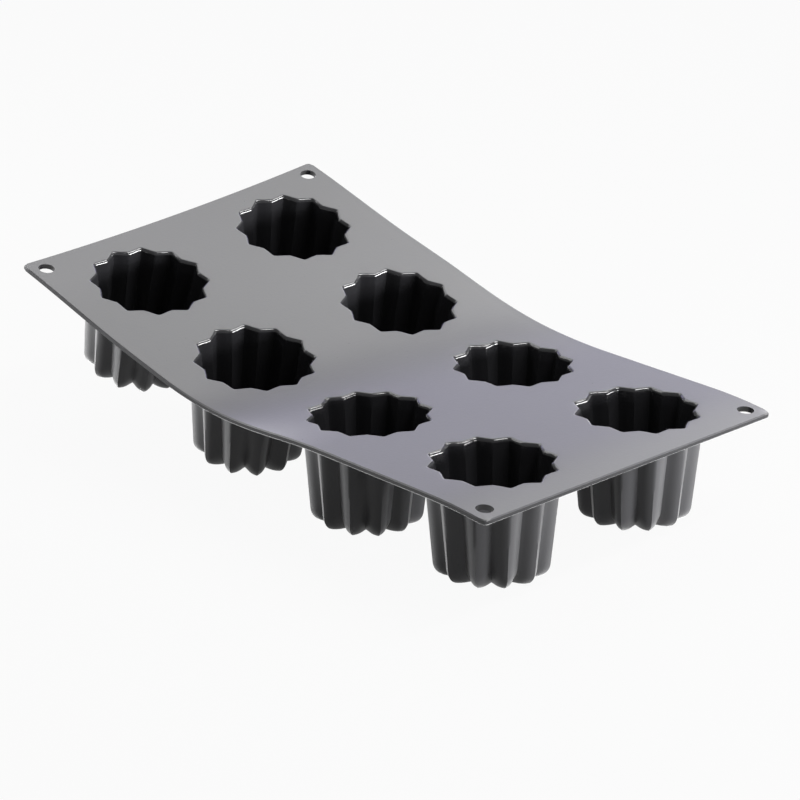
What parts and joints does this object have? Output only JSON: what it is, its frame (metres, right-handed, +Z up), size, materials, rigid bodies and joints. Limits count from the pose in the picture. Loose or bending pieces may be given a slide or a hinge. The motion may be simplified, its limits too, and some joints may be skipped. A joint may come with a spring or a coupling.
{
  "type": "silicone canele mould",
  "caption": "Flexible silicone baking mould: a thin rectangular sheet, here bent lengthwise, with two rows of deep fluted cups for canele cakes and a hole in each corner.",
  "frame": {"origin": "on the surface that the mould stands on, under the middle of its box", "axes": "+X along the sheet towards column 4, +Y across it towards row a, +Z up out of the cups"},
  "size_m": [0.3016, 0.1766, 0.0895],
  "materials": {
    "silicone": "satin charcoal grey"
  },
  "bodies": {
    "column_1": {"sheet_panel_1": "silicone", "cup_wall_a1": "silicone", "cup_wall_b1": "silicone"},
    "column_2": {"sheet_panel_2": "silicone", "cup_wall_a2": "silicone", "cup_wall_b2": "silicone", "flex_web_12": "silicone"},
    "column_3": {"sheet_panel_3": "silicone", "cup_wall_a3": "silicone", "cup_wall_b3": "silicone", "flex_web_23": "silicone", "flex_web_34": "silicone"},
    "column_4": {"sheet_panel_4": "silicone", "cup_wall_a4": "silicone", "cup_wall_b4": "silicone"},
    "floor_a1": {"cup_floor_a1": "silicone"},
    "floor_a2": {"cup_floor_a2": "silicone"},
    "floor_a3": {"cup_floor_a3": "silicone"},
    "floor_a4": {"cup_floor_a4": "silicone"},
    "floor_b1": {"cup_floor_b1": "silicone"},
    "floor_b2": {"cup_floor_b2": "silicone"},
    "floor_b3": {"cup_floor_b3": "silicone"},
    "floor_b4": {"cup_floor_b4": "silicone"}
  },
  "joints": [
    {"name": "fold_23", "type": "hinge", "parent": "column_3", "child": "column_2", "pos_m": [-0.0015, 0.00052, 0.04814], "axis": [0.0001, 0.9994, 0.0342], "range_deg": [-34, 46], "stiffness_Nm_per_rad": 8, "deforming": ["flex_web_23"]},
    {"name": "fold_12", "type": "hinge", "parent": "column_2", "child": "column_1", "pos_m": [-0.07552, 0.00008, 0.06219], "axis": [0.0092, 0.9973, 0.0732], "range_deg": [-22, 57], "stiffness_Nm_per_rad": 8, "deforming": ["flex_web_12"]},
    {"name": "fold_34", "type": "hinge", "parent": "column_3", "child": "column_4", "pos_m": [0.07384, 0.00044, 0.04893], "axis": [-0.0012, -1, 0.0059], "range_deg": [-20, 60], "stiffness_Nm_per_rad": 8, "deforming": ["flex_web_34"]},
    {"name": "push_out_a1", "type": "slide", "parent": "column_1", "child": "floor_a1", "axis": [0.2404, -0.0865, 0.9668], "range_m": [0, 0.01], "stiffness_N_per_m": 400},
    {"name": "push_out_a2", "type": "slide", "parent": "column_2", "child": "floor_a2", "axis": [0.2369, -0.0683, 0.9691], "range_m": [0, 0.01], "stiffness_N_per_m": 400},
    {"name": "push_out_a3", "type": "slide", "parent": "column_3", "child": "floor_a3", "axis": [-0.0034, 0.001, 1], "range_m": [0, 0.01], "stiffness_N_per_m": 400},
    {"name": "push_out_a4", "type": "slide", "parent": "column_4", "child": "floor_a4", "axis": [-0.0286, 0.006, 0.9996], "range_m": [0, 0.01], "stiffness_N_per_m": 400},
    {"name": "push_out_b1", "type": "slide", "parent": "column_1", "child": "floor_b1", "axis": [0.2996, -0.0594, 0.9522], "range_m": [0, 0.01], "stiffness_N_per_m": 400},
    {"name": "push_out_b2", "type": "slide", "parent": "column_2", "child": "floor_b2", "axis": [0.1877, -0.0687, 0.9798], "range_m": [0, 0.01], "stiffness_N_per_m": 400},
    {"name": "push_out_b3", "type": "slide", "parent": "column_3", "child": "floor_b3", "axis": [0.0075, 0.0009, 1], "range_m": [0, 0.01], "stiffness_N_per_m": 400},
    {"name": "push_out_b4", "type": "slide", "parent": "column_4", "child": "floor_b4", "axis": [-0.0591, 0.0366, 0.9976], "range_m": [0, 0.01], "stiffness_N_per_m": 400}
  ]
}
